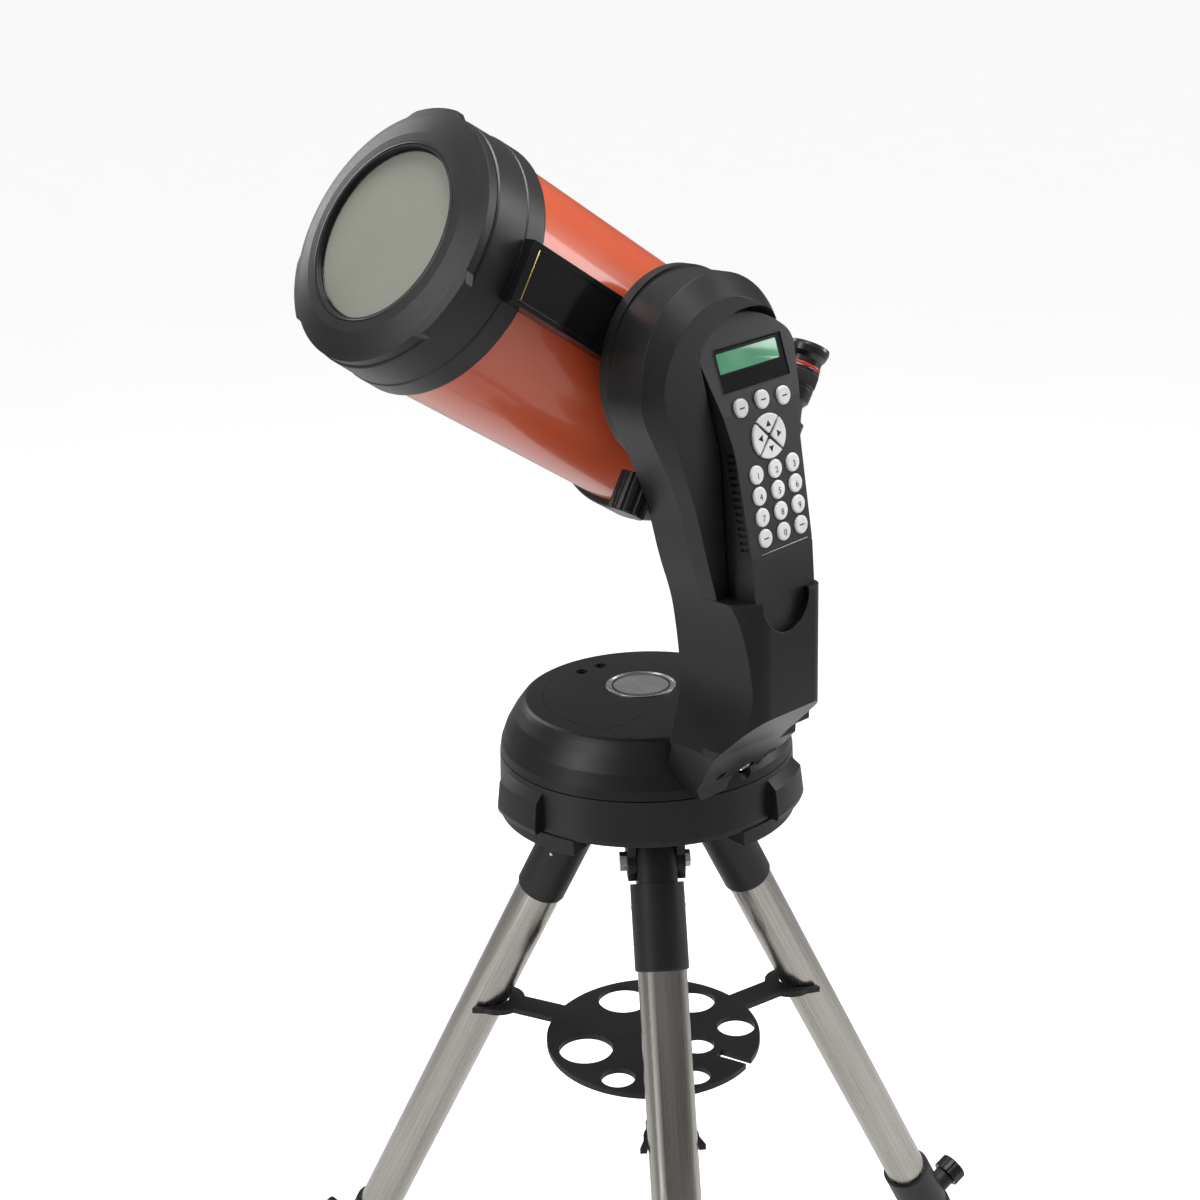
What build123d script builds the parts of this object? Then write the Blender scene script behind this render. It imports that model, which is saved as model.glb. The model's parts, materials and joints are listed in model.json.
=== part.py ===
from build123d import *
import os
from math import cos, pi, radians, sin, tan

# A telescope with a front filter on a motorised one-armed mount and a tripod, in mm.
# z is up. Shapes are built with z = 0 on the underside of the azimuth base, and put()
# lifts them so that the floor is at z = 0. The fork arm and its handset stand on the +X
# side; the tube points to -Y and upwards.

os.makedirs("parts", exist_ok=True)

# ---------------------------------------------------------------- dimensions
HEAD_H = 838.0            # height of the tripod head's top above the floor
LEG_AZ = (319.95, 79.95, 199.95)
LOBE_AZ = (19.95, 139.95, 259.95)
BOLT_CIRCLE, FOOT_CIRCLE = 88, 104      # mounting bolts and feet of the base
LEG_TILT = radians(27.08)               # from the vertical
LEG_R = 19.05
PIVOT_R, PIVOT_Z, KNUCKLE_R = 62.6, -37.0, 13.5
TRAY_Z, TRAY_R, TRAY_T = -232.7, 89.7, 5.0

BASE_R, SEAM_R, SEAM_Z, TOP_Z = 117.3, 115.9, 36.9, 78.2
GEAR_MODULE, WHEEL_TEETH, PINION_TEETH = 1.25, 72, 12
GEAR_CENTRES = (WHEEL_TEETH + PINION_TEETH) * GEAR_MODULE / 2
AZ_GEAR_Z, AZ_GEAR_WIDTH = 8, 10
AZ_PINION_ANGLE, ALT_PINION_ANGLE = 160, 288

ARM_IN, ARM_SPLIT, ARM_SIDE, ARM_OUT = 108.0, 112.3, 139.0, 153.0   # x stations
HOLSTER_X, HOLSTER_Z = 182.0, 208.5     # outer side and lip of the handset holster
PANEL_LO, PANEL_HI = (104.0, 38.0), (148.0, 88.0)   # sloping port panel, (x, z)

TUBE_R, TUBE_RI = 86.5, 84.5
TUBE_TILT = radians(31.76)              # elevation of the tube
TUBE_Z = 323.8            # height where the tube axis crosses the azimuth axis
ALT_S = 75.7              # altitude axis, along the tube axis from that point
CELL_R, CELL_REAR, CELL_FRONT = 90.5, 212.7, 254.7
REAR_BACK, REAR_FRONT, REAR_R = -98.0, -14.0, 91.5
BAR_W, BAR_OUT, BAR_S0, BAR_S1 = 42.0, 99.0, -50.0, 229.7
SADDLE_R = 69.0
CAP_R, CAP_LOBE_R, WINDOW_R = 87.6, 91.5, 60.0

ALT_Y = -ALT_S * cos(TUBE_TILT)
ALT_Z = TUBE_Z + ALT_S * sin(TUBE_TILT)
# tube frame: z forwards along the axis, x as the mount's, y upwards
TUBE_FRAME = Plane(origin=(0, 0, TUBE_Z), x_dir=(1, 0, 0),
                   z_dir=(0, -cos(TUBE_TILT), sin(TUBE_TILT)))

STANDING = (Align.CENTER, Align.CENTER, Align.MIN)
TO_X, TO_Y, TO_MINUS_Y = Rot(0, 90, 0), Rot(-90, 0, 0), Rot(90, 0, 0)   # turn z to the axis


# ------------------------------------------------------------------- helpers
def put(name, *shapes):
    solids = [s for shape in shapes for s in (Pos(0, 0, HEAD_H) * shape).solids()]
    out = solids[0] if len(solids) == 1 else Compound(children=solids)
    export_step(out, "parts/" + name + ".step")


def largest(shape):
    return max(shape.solids(), key=lambda s: s.volume)


def cyl(r, h, z=0):
    return Pos(0, 0, z) * Cylinder(r, h, align=STANDING)


def pipe(r, bore_r, h, depth=None):
    # bored from below, right through unless a depth is given
    return cyl(r, h) - cyl(bore_r, (depth or h + 1) + 1, -1)


def polygon(*pts):
    return make_face(Polyline(*pts, close=True))


def rev(*pts, angle=360):
    # revolved profile, points (radius, z)
    return revolve(Plane.XZ * polygon(*pts), Axis.Z, angle)


def polar(r, deg):
    return (r * cos(radians(deg)), r * sin(radians(deg)))


def on_circle(r, deg, z=0):
    return Pos(*polar(r, deg), z)


def radial_frame(az):
    # x outwards at the azimuth, z up
    return Plane(origin=(0, 0, 0), x_dir=(*polar(1, az), 0), z_dir=(0, 0, 1))


def gear(teeth, width):
    # straight-sided teeth, thinner than half the pitch for backlash
    pitch_r, pitch = teeth * GEAR_MODULE / 2, 2 * pi / teeth
    root_r, tip_r = pitch_r - 1.25 * GEAR_MODULE, pitch_r + 0.8 * GEAR_MODULE
    root_half, tip_half = pitch * 0.36 * 1.5 / 2, pitch * 0.36 * 0.52 / 2
    pts = []
    for i in range(teeth):
        for r, turn in ((root_r, -root_half), (tip_r, -tip_half),
                        (tip_r, tip_half), (root_r, root_half)):
            pts.append((r * cos(pitch * i + turn), r * sin(pitch * i + turn)))
    return extrude(polygon(*pts), width)


def pinion(angle, width):
    # turned so that a gap meets the wheel's tooth on the line of centres
    mesh = (angle % (360 / WHEEL_TEETH)) * WHEEL_TEETH / PINION_TEETH
    turn = angle + 180 + 360 / PINION_TEETH / 2 + mesh
    return Rot(0, 0, turn) * gear(PINION_TEETH, width)


def ribbed(r, ribs, h, groove_w):
    # grip knob: a round body with straight grooves between its ribs
    body = cyl(r, h)
    body = chamfer(body.edges().group_by(Axis.Z)[-1], 1.2)
    return body - [on_circle(r + groove_w * 0.25, 360 * i / ribs) * cyl(groove_w / 2, h + 2, -1)
                   for i in range(ribs)]


# ------------------------------------------------------------------- tripod
EAR_Y = 19.0              # ears of the head, either side of a leg


def tripod_head():
    thick, steps = 12, 14
    head = cyl(80, thick)
    for az in LOBE_AZ:
        arc = [polar(118.5, az - 27 + 54 * i / steps) for i in range(steps + 1)]
        head += extrude(polygon((0, 0), *arc), thick)
    head = Pos(0, 0, -thick) * head
    head += cyl(34, 14, -24)
    for az in LEG_AZ:
        frame = radial_frame(az)
        for side in (-1, 1):
            ear = Pos(PIVOT_R - 4, side * EAR_Y, -30) * Box(30, 6.6, 38)
            ear += Pos(PIVOT_R, side * EAR_Y, PIVOT_Z) * TO_MINUS_Y * Cylinder(KNUCKLE_R, 6.6)
            head += frame * ear
        head -= frame * (Pos(PIVOT_R, 0, PIVOT_Z) * TO_MINUS_Y * Cylinder(4.05, 60))
    head -= cyl(6.1, 80, -60)
    head -= cyl(30, 9, -8)
    for az in LOBE_AZ:
        head -= on_circle(BOLT_CIRCLE, az) * cyl(3.3, 40, -20)
        head -= on_circle(FOOT_CIRCLE, az) * cyl(8.2, 5, -4)     # seat of a base foot
    return head


def pivot_bolt(az):
    bolt = Pos(PIVOT_R, 0, PIVOT_Z) * TO_MINUS_Y * Cylinder(4.0, 50)
    for y, turn, r, h in ((-22.4, TO_MINUS_Y, 7.5, 5.5), (22.4, TO_Y, 6.6, 4.6)):
        bolt += Pos(PIVOT_R, y, PIVOT_Z) * turn * extrude(RegularPolygon(r, 6), h)
    return radial_frame(az) * bolt


def centre_rod():
    return cyl(6.0, 312, -318) + cyl(13, 5, -8) + Pos(0, 0, -342) * pipe(8.5, 3, 25, 5)


def mounting_bolt(az):
    bolt = on_circle(BOLT_CIRCLE, az, -17.5) * (cyl(3.2, 32) + cyl(5.6, 5.5))
    return bolt - on_circle(BOLT_CIRCLE, az, -18) * extrude(RegularPolygon(2.9, 6), 3.4)


put("tripod_head", tripod_head())
put("leg_pivot_bolts", *[pivot_bolt(az) for az in LEG_AZ])
put("centre_rod", centre_rod())
put("mounting_bolts", *[mounting_bolt(az) for az in LOBE_AZ])

# stations along a leg from its pivot
TUBE_START, COLLAR_END = 40.0, 83.0
CLAMP = 560.0                    # lower clamp
CLAMP_KNOB = CLAMP - 4
EXT_START = 150                  # upper end of the extension
FLOOR_S = (HEAD_H + PIVOT_Z) / cos(LEG_TILT)


def leg_frame(az):
    # z down the leg, y across it along the pivot, x outwards
    ux, uy = polar(1, az)
    return Plane(origin=(PIVOT_R * ux, PIVOT_R * uy, PIVOT_Z),
                 x_dir=(ux * cos(LEG_TILT), uy * cos(LEG_TILT), sin(LEG_TILT)),
                 z_dir=(ux * sin(LEG_TILT), uy * sin(LEG_TILT), -cos(LEG_TILT)))


def leg_tube():
    return Pos(0, 0, TUBE_START) * pipe(LEG_R, 17.4, CLAMP - 10 - TUBE_START)


def leg_knuckle():
    fit = cyl(20.2, 36, -13) & Box(60, 30.6, 200)
    fit += TO_MINUS_Y * Cylinder(KNUCKLE_R, 30.6)
    fit += cyl(21.0, COLLAR_END - 18, 18)
    fit -= cyl(19.1, 60, TUBE_START - 0.1)
    return fit - TO_MINUS_Y * Cylinder(4.06, 80)


def leg_clamp():
    clamp = cyl(22.5, 70, CLAMP - 55)
    clamp += cyl(24.0, 16, CLAMP + 4)
    clamp += Pos(18, 0, CLAMP_KNOB) * TO_X * cyl(10, 15)
    clamp -= cyl(19.1, 50, CLAMP - 60)
    clamp -= cyl(16.15, 120, CLAMP - 70)
    return clamp - Pos(0, 0, CLAMP_KNOB) * TO_X * cyl(4.05, 60)


def leg_knob():
    knob = Pos(33.5, 0, CLAMP_KNOB) * TO_X * ribbed(13.5, 10, 14, 4.2)
    return knob + Pos(16.4, 0, CLAMP_KNOB) * TO_X * cyl(4.0, 18)


def leg_extension():
    length = FLOOR_S - EXT_START - 16
    return Pos(0, 0, EXT_START) * pipe(16.1, 14.6, length, length - 5)


def leg_foot(az):
    foot = cyl(20.5, 60, FLOOR_S - 46)
    foot += cyl(18.4, 20, FLOOR_S - 60)
    foot -= cyl(16.12, 54.1, FLOOR_S - 70)
    # trimmed flat on the floor
    return leg_frame(az) * foot - on_circle(490, az, -HEAD_H - 50) * Box(300, 300, 100)


for i, az in enumerate(LEG_AZ, 1):
    frame = leg_frame(az)
    put(f"leg_{i}_tube", frame * leg_tube())
    put(f"leg_{i}_fittings", frame * leg_knuckle(), frame * leg_clamp())
    put(f"leg_{i}_knob", frame * leg_knob())
    put(f"leg_{i}_extension", frame * leg_extension())
    put(f"leg_{i}_foot", leg_foot(az))

TRAY_HOLES = [  # x, y, radius
    (-24.3, -54.9, 22.5), (-57.5, 22.5, 22.5), (-13.0, 61.0, 20.0), (26.0, -66.8, 14.0),
    (68.0, -22.0, 13.5), (42.5, 56.5, 16.0), (38.7, 13.5, 14.0)]
CRESCENT = [    # end of a tray arm, (outwards, across)
    (140, -18), (166, -27), (172, -25), (170, -8), (170, 8), (172, 25), (166, 27), (140, 18)]


def accessory_tray():
    # a disc with three arms that end in crescents against the legs
    tray = cyl(TRAY_R, TRAY_T)
    for az in LEG_AZ:
        frame = radial_frame(az)
        arm = Pos(106, 0, 0) * Box(60, 22, TRAY_T, align=STANDING)
        arm += Pos(147, 0, 0) * cyl(21.5, TRAY_T)
        arm += extrude(polygon(*CRESCENT), TRAY_T)
        tray += frame * arm
        tray -= frame * (Pos(172, 0, -1) * Box(22, 80, 20, align=STANDING))
    tray = Pos(0, 0, TRAY_Z - TRAY_T / 2) * tray
    for az in LEG_AZ:
        tray -= leg_frame(az) * cyl(LEG_R + 1.0, 300, 100)
    for x, y, r in TRAY_HOLES:
        tray -= Pos(x, y, TRAY_Z - 10) * cyl(r, 20)
    tray -= cyl(6.6, 20, TRAY_Z - 10)
    slot = Box(10, 9, 20) + Pos(18, 0, 0) * Box(40, 8.5, 20)
    tray -= Pos(65, 17.5, TRAY_Z) * Rot(0, 0, 15) * slot
    return largest(tray)


def tray_knob():
    height = 21.5
    knob = cyl(13.5, height)
    for k in range(3):
        knob += on_circle(16, 30 + 120 * k) * cyl(9.5, 19)
    return Pos(0, 0, TRAY_Z - 2.7 - height) * (knob - cyl(6.08, 30, -1))


# ---------------------------------------------------------------- azimuth base
def base_ring():
    ring = rev((108, 0), (BASE_R, 0), (BASE_R + 0.2, 4), (SEAM_R + 0.3, SEAM_Z - 0.8),
               (112.5, SEAM_Z - 0.8), (111.5, 5), (108, 5))
    ring += cyl(112, 5)
    for az in LOBE_AZ:
        lobe = rev((108, 0.3), (125.5, 0.3), (126.2, 4), (123.6, 25), (113.6, 34.5),
                   (108, 34.5), angle=25)
        ring += radial_frame(az) * (Rot(0, 0, -12.5) * lobe)
    ring -= cyl(111.6, 60, 5)
    for az in LOBE_AZ:
        ring += on_circle(BOLT_CIRCLE, az) * cyl(8, 12, 5)
        ring -= on_circle(BOLT_CIRCLE, az) * cyl(3.25, 16.6, -1)
        ring += on_circle(FOOT_CIRCLE, az) * cyl(7.6, 4, -3.6)
    ring += cyl(22, 21, 4) + cyl(14, 33.5, 24)
    return ring - cyl(9.0, 22, -1)


def azimuth_gear():
    wheel = Pos(0, 0, AZ_GEAR_Z) * gear(WHEEL_TEETH, AZ_GEAR_WIDTH) - cyl(22.02, 40)
    for k in range(6):
        wheel -= on_circle(33, 60 * k + 30) * cyl(5.5, 40)
    return wheel


DRUM = rev((0, SEAM_Z), (SEAM_R, SEAM_Z), (114.9, 44.0), (110.6, 55.5), (104.2, 66.5),
           (98.6, 74.0), (96.4, 76.6), (94.2, 77.9), (92.6, TOP_Z), (0, TOP_Z))
BADGE = Pos(-13.6, 9.4, TOP_Z - 0.9)
DECK_SOCKETS = [(-70.2, -2.0), (-68.6, 17.4)]


def flatted_disc(r, h, z, flat_x):
    # disc cut off flat on its +X side
    return cyl(r, h, z) & (Pos(flat_x - 100, 0, z - 5) * Box(200, 200, 30, align=STANDING))


def battery_cover():
    lid = flatted_disc(80.2, TOP_Z + 0.2 - 75.0, 75.0, 33.2)
    lid -= BADGE * cyl(28.1, 5)
    for x, y in DECK_SOCKETS:
        lid -= Pos(x, y, 70) * cyl(5.1, 20)
    return lid


def deck_badge():
    return BADGE * (cyl(28.0, 1.2) + Pos(0, 0, 1.2) * pipe(28.0, 26.4, 0.5))


def base_shell(arms, ports):
    shell = DRUM - rev((0, SEAM_Z - 1), (111.6, SEAM_Z - 1), (111.2, 44), (107, 55),
                       (100.5, 65.5), (95, 71.5), (0, 71.5))
    shell += Pos(0, 0, 34) * pipe(20, 14.06, 38, 24)
    shell -= flatted_disc(80.6, 20, 74.6, 33.6)
    for x, y in DECK_SOCKETS:
        shell -= Pos(x, y, 60) * cyl(5.1, 20)
    shell += cyl(20, 14, 58)
    return largest(shell - arms - ports)


for build in (accessory_tray, tray_knob, base_ring, azimuth_gear, battery_cover, deck_badge):
    put(build.__name__, build())

# ------------------------------------------------------------- handset volumes
# handset frame: origin on the face at the middle key, x across (towards +Y),
# y up the handset, z out of the face (towards +X)
LEAN, SLANT, KINK = radians(8.0), radians(2.5), radians(8.0)
FACE_DIR = Vector(cos(LEAN), 0, sin(LEAN))
RISE_DIR = Vector(-sin(LEAN), 0, cos(LEAN))
ROW_DIR = Vector(0, 1, 0) * cos(SLANT) + RISE_DIR * sin(SLANT)
HANDSET = Plane(origin=(168.0, -35.0, 280.3), x_dir=ROW_DIR, z_dir=FACE_DIR)

# front outline, (x, y); the point at index 4 is the crown of the top arc
HANDSET_PTS = [(-29, -112), (-33.5, -70), (-35.4, 34), (-52.0, 104), (-4, 123.5),
               (44.0, 100), (31.4, 34), (28.5, -70), (24, -112)]
HANDSET_ROUNDS = ((2, 60), (6, 90), (3, 15), (5, 15))     # point index, fillet radius
GRIP_END, GRIP_BEND, KINK_Y, TOP_END = -130, -43, 60, 135
GRIP_DROP = (GRIP_END - GRIP_BEND) * tan(radians(5.0))
# side view of the face, (y, z): the grip bends back, the upper part kinks back
FACE_LINE = [(GRIP_END, GRIP_DROP), (GRIP_BEND, 0), (KINK_Y, 0),
             (TOP_END, -(TOP_END - KINK_Y) * tan(KINK))]
BACK_DEPTH = -27.0
SIDE_PLANE = Plane.YZ.offset(-90)


def handset_prism(grow=0.0):
    # the front outline, grown by an offset and extruded through the whole depth
    p = HANDSET_PTS
    curves = [Line(p[0], p[1]), Line(p[1], p[2]), Line(p[2], p[3]),
              ThreePointArc(p[3], p[4], p[5]),
              Line(p[5], p[6]), Line(p[6], p[7]), Line(p[7], p[8]), Line(p[8], p[0])]
    face = make_face(Wire([e for c in curves for e in c.edges()]))
    for i, r in HANDSET_ROUNDS:
        corner = min(face.vertices(), key=lambda v: (v.X - p[i][0]) ** 2 + (v.Y - p[i][1]) ** 2)
        face = fillet(corner, r)
    if grow:
        face = offset(face, grow, kind=Kind.ARC)
    return extrude(Plane.XY.offset(-60) * face, 160)


def side_body(back_shift=0.0, face_shift=0.0):
    # the side profile across the full width, its back and face moved along z
    back = BACK_DEPTH + back_shift
    face = [(y, z + face_shift) for y, z in FACE_LINE]
    return extrude(SIDE_PLANE * polygon((GRIP_END, GRIP_DROP + back), *face, (TOP_END, back + 5),
                                        (KINK_Y, back), (GRIP_BEND, back)), 180)


def band(low, high):
    # a layer that follows the face, from low to high above it
    upper = [(y, z + high) for y, z in FACE_LINE]
    lower = [(y, z + low) for y, z in FACE_LINE][::-1]
    return extrude(SIDE_PLANE * polygon(*upper, *lower), 180)


# ------------------------------------------------------------------ port panel
PANEL_RUN_X, PANEL_RUN_Z = PANEL_HI[0] - PANEL_LO[0], PANEL_HI[1] - PANEL_LO[1]
PANEL_LEN = 66.6
PANEL_DIR = Vector(PANEL_RUN_Z, 0, -PANEL_RUN_X).normalized()    # outwards and down
PANEL_PORTS = [((119.2, -40.9, 55.2), 4.6, 7), ((115.2, -9.4, 50.8), 7.6, 12)]  # point, r, depth
SWITCH_FRAME = Plane(origin=(PANEL_LO[0] + PANEL_RUN_X * 0.36, 13.0,
                             PANEL_LO[1] + PANEL_RUN_Z * 0.36),
                     x_dir=(0, 1, 0), z_dir=tuple(PANEL_DIR))


def port_frame(point, depth):
    # the bottom of a port whose mouth is the point dropped onto the panel
    mouth = Vector(*point)
    mouth -= PANEL_DIR * (mouth - Vector(PANEL_LO[0], 0, PANEL_LO[1])).dot(PANEL_DIR)
    return Plane(origin=tuple(mouth - PANEL_DIR * depth), z_dir=tuple(PANEL_DIR))


def port_cuts():
    cuts = [port_frame(p, depth) * cyl(r, depth + 6) for p, r, depth in PANEL_PORTS]
    return cuts + [SWITCH_FRAME * (Pos(0, 0, -5.0) * Box(17, 21, 12.5))]


def port_sockets():
    deck_z = 68
    sockets = [Pos(x, y, deck_z) * (cyl(5.0, TOP_Z - deck_z - 1.2) - cyl(3.4, 20, 3)
                                    + cyl(0.9, 6, 2)) for x, y in DECK_SOCKETS]
    for p, r, depth in PANEL_PORTS:
        sockets.append(port_frame(p, depth) * (cyl(r - 0.05, depth - 1.2)
                                               - cyl(r - 1.6, depth, 2)
                                               + cyl(1.1, depth - 4, 1.5)))
    return sockets


def power_switch():
    rocker = Pos(0, 0, -6.5) * (Box(11, 15, 7) + Pos(0, 0, 3.5) * TO_X * Cylinder(3.2, 11))
    return SWITCH_FRAME * (rocker & Box(40, 40, 15))


# -------------------------------------------------------------------- fork arm
# edges of the arm, (y, z) from the top down: FRONT on the -Y side, REAR on the +Y side
FRONT = [(-134.2, 362), (-133.4, 345), (-124.5, 326), (-112.5, 303), (-100.5, 274),
         (-88.5, 232), (-79.5, 206), (-74.2, 178), (-71.6, 156), (-71.0, 136),
         (-74.5, 117), (-79.0, 103), (-82.0, 92)]
REAR = [(4.5, 362), (8, 330), (12, 290), (16, 240), (19, 200), (20.5, 150), (20.5, 104),
        (20.5, 92)]
CROWN = (-65, 430.5)
TAIL = [(18, 60), (14, 38), (-56.0, 38.5)]       # foot of the arm
ARM_OUTLINE = (FRONT, REAR, CROWN, TAIL)
# the same edges on the outermost face, inside the bevel
OUTER_FRONT = [(-127.6, 362), (-125.0, 348.5), (-117.5, 327), (-107.5, 300), (-98.0, 272),
               (-88.0, 236), (-79.2, 206), (-74.0, 178), (-71.4, 156), (-70.6, 136),
               (-73.0, 117), (-77.0, 103), (-79.0, 92)]
OUTER_REAR = [(-4.0, 362), (0.5, 330), (6, 290), (11, 240), (15.5, 200), (18.0, 150),
              (18.5, 104), (18.5, 92)]
# web that joins the arm to the drum
WEB_OUTLINE = ([(-60, 112), (-66, 100), (-74, 90)], [(8, 112), (12, 100), (14, 90)],
               (-26, 114), [(14, 38.5), (-56, 38.5)])
WEB_PROFILE = [(108, 125), (97, 80), (86, 60), (86, 38), (108, 38)]    # (x, z)


def outline(x, front, rear, crown, tail):
    def spline(pts):
        return Spline(*[(x, y, z) for y, z in pts])

    curves = [spline(front), ThreePointArc((x, *front[0]), (x, *crown), (x, *rear[0])),
              spline(rear)]
    low = [(x, *p) for p in [rear[-1], *tail, front[-1]]]
    curves += [Line(a, b) for a, b in zip(low, low[1:])]
    return Wire([e for c in curves for e in c.edges()])


def slab(x0, x1, *edges):
    return extrude(make_face(outline(x0, *edges)), amount=x1 - x0, dir=(1, 0, 0))


def altitude_axis(x):
    return Plane(origin=(x, ALT_Y, ALT_Z), z_dir=(1, 0, 0))


def holster_bulge():
    bulge = Pos((ARM_OUT + HOLSTER_X) / 2 - 10, -40, (50 + HOLSTER_Z) / 2) \
        * Box(HOLSTER_X - ARM_OUT + 20, 82, HOLSTER_Z - 50)
    for pick, r in ((0, 25), (-1, 12)):
        edges = bulge.edges().filter_by(Axis.Z).group_by(Axis.X)[-1].sort_by(Axis.Y)
        bulge = fillet(edges[pick], r)
    return bulge & slab(130, 190, *ARM_OUTLINE)


def drive_cavity():
    depth = 11.2
    cavity = altitude_axis(ARM_SPLIT - 1) * cyl(61.5, depth)
    cavity += Pos(ARM_SPLIT + 4.6, -38, 268) * Box(depth, 62, 104)
    cavity += Pos(ARM_SPLIT + 4.6, -27, 160) * Box(depth, 66, 120)
    return cavity


def fork_arm_outer(ports):
    arm = slab(ARM_SPLIT, ARM_SIDE, *ARM_OUTLINE)
    side = outline(ARM_SIDE, FRONT, REAR, CROWN, [])
    bevel = outline(ARM_OUT, OUTER_FRONT, OUTER_REAR, (-66, 415.5), [])
    arm += Solid.make_loft([side, bevel], ruled=True)
    arm += extrude(make_face(side), amount=0.5, dir=(-1, 0, 0))     # laps the joint
    arm += holster_bulge()
    # trim below by the sloping panel
    profile = polygon((100, 37), PANEL_LO, PANEL_HI, (HOLSTER_X + 1, 123),
                      (HOLSTER_X + 1, 460), (100, 460))
    arm = arm & extrude(Plane.XZ.offset(300) * profile, -600)
    arm -= DRUM
    arm -= cyl(200, 37.9)
    # wide pocket above the holster's lip, close-fitting slot below it
    pocket = handset_prism(3.6) & side_body(back_shift=-1.0, face_shift=60)
    slot = handset_prism(0.6) & side_body(back_shift=-0.6, face_shift=0.6)
    below_lip = Box(800, 800, 2 * HOLSTER_Z)
    arm -= (HANDSET * pocket) - below_lip
    arm -= (HANDSET * slot) & below_lip
    # scoop in the holster's lip
    arm -= HANDSET * (Pos(-8, -72, -4) * scale(Sphere(1), by=(26, 27, 16)))
    arm -= drive_cavity()
    arm -= ports
    # groove across the arm near the panel's upper edge
    arm -= Plane(origin=(PANEL_HI[0] - 6 * PANEL_RUN_X / PANEL_LEN, 0,
                         PANEL_HI[1] - 6 * PANEL_RUN_Z / PANEL_LEN - 6),
                 x_dir=(0, 1, 0), z_dir=tuple(PANEL_DIR)) * Box(200, 0.9, 1.6)
    return largest(arm)


def fork_arm_inner(outer, ports):
    arm = slab(ARM_IN, ARM_SPLIT, *ARM_OUTLINE)
    arm += slab(86, ARM_IN, *WEB_OUTLINE) \
        & extrude(Plane.XZ.offset(150) * polygon(*WEB_PROFILE), -300)
    arm -= DRUM
    arm -= cyl(200, 37.9)
    arm += altitude_axis(ARM_SPLIT) * cyl(24, 1.5)
    arm -= altitude_axis(100) * cyl(15.05, 20)      # bearing of the altitude shaft
    return largest(arm - outer - ports)


PORTS = port_cuts()
arm_outer = fork_arm_outer(PORTS)
arm_inner = fork_arm_inner(arm_outer, PORTS)
put("fork_arm_inner", arm_inner)
put("fork_arm_outer", arm_outer)
put("base_shell", base_shell([arm_inner, arm_outer], PORTS))
put("power_switch", power_switch())
put("port_sockets", *port_sockets())

# ---------------------------------------------------------------------- drives
# the azimuth pinion meshes with the fixed gear of the base
AZ_PINION = polar(GEAR_CENTRES, AZ_PINION_ANGLE)
ALT_DY, ALT_DZ = polar(GEAR_CENTRES, ALT_PINION_ANGLE)
ALT_GEAR_X, ALT_GEAR_WIDTH = ARM_SPLIT + 1.6, 7
SHAFT_LEN = ALT_GEAR_X - 107.55


def altitude_frame(y, z):
    # z towards +X, x towards +Y
    return Plane(origin=(ALT_GEAR_X, y, z), x_dir=(0, 1, 0), z_dir=(1, 0, 0))


def azimuth_pinion():
    return Pos(*AZ_PINION, AZ_GEAR_Z) * pinion(AZ_PINION_ANGLE, AZ_GEAR_WIDTH) \
        + Pos(*AZ_PINION, AZ_GEAR_Z + AZ_GEAR_WIDTH) * cyl(2.5, 12)


def azimuth_motor():
    motor = Pos(*AZ_PINION, 21) * pipe(11, 2.55, 44, 10)
    return motor + Pos(*AZ_PINION, 44) * Box(24, 24, 20, align=STANDING)


def altitude_motor():
    return Pos(ALT_GEAR_X + 3.4, -34, 240) * Box(6.6, 30, 44)


def altitude_gear():
    wheel = gear(WHEEL_TEETH, ALT_GEAR_WIDTH)
    for k in range(6):
        wheel -= on_circle(31, 60 * k) * cyl(8, 20, -1)
    wheel += cyl(15.0, SHAFT_LEN, -SHAFT_LEN)
    wheel += cyl(8.0, 2.3, 6)
    return altitude_frame(ALT_Y, ALT_Z) * wheel


def altitude_pinion():
    return altitude_frame(ALT_Y + ALT_DY, ALT_Z + ALT_DZ) \
        * (pinion(ALT_PINION_ANGLE, ALT_GEAR_WIDTH) + cyl(2.5, 1.7, 6.5))


put("azimuth_pinion", azimuth_pinion())
put("drive_motors", azimuth_motor(), altitude_motor())
put("altitude_gear", altitude_gear())
put("altitude_pinion", altitude_pinion())

# ------------------------------------------------------------------- handset
SPLIT_Z = -10.0                         # joint of case and back, below the face
KEY_R, KEY_Z = 6.5, -1.2
TOP_KEYS = {"key_left": (-23.6, 62.6), "key_middle": (-2.0, 64.0), "key_right": (19.5, 62.2)}
NUMBER_KEYS = [(x, y) for x in (-17.9, 1.1, 19.4) for y in (15.4, 0.7, -14.2, -28.9)]
ARROWS = {"arrow_up": 90, "arrow_left": 180, "arrow_down": 270, "arrow_right": 0}
PAD = (-0.6, 38.5)                      # centre of the arrow keys
# display window, on the kinked upper face
WINDOW = Plane(origin=(0, KINK_Y, 0), x_dir=(1, 0, 0),
               z_dir=(0, sin(KINK), cos(KINK))) * Pos(-2.4, 29.5, 0)


def key(x, y):
    cap = cyl(KEY_R, 2.6)
    cap = fillet(cap.edges().group_by(Axis.Z)[-1], 1.1)
    cap += cyl(KEY_R - 1.8, 4.2, -4)
    return Pos(x, y, KEY_Z) * cap


def quadrant(tip_x, h):
    return extrude(polygon((tip_x, 0), polar(30, 45), (42, 0), polar(30, -45)), h)


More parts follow.
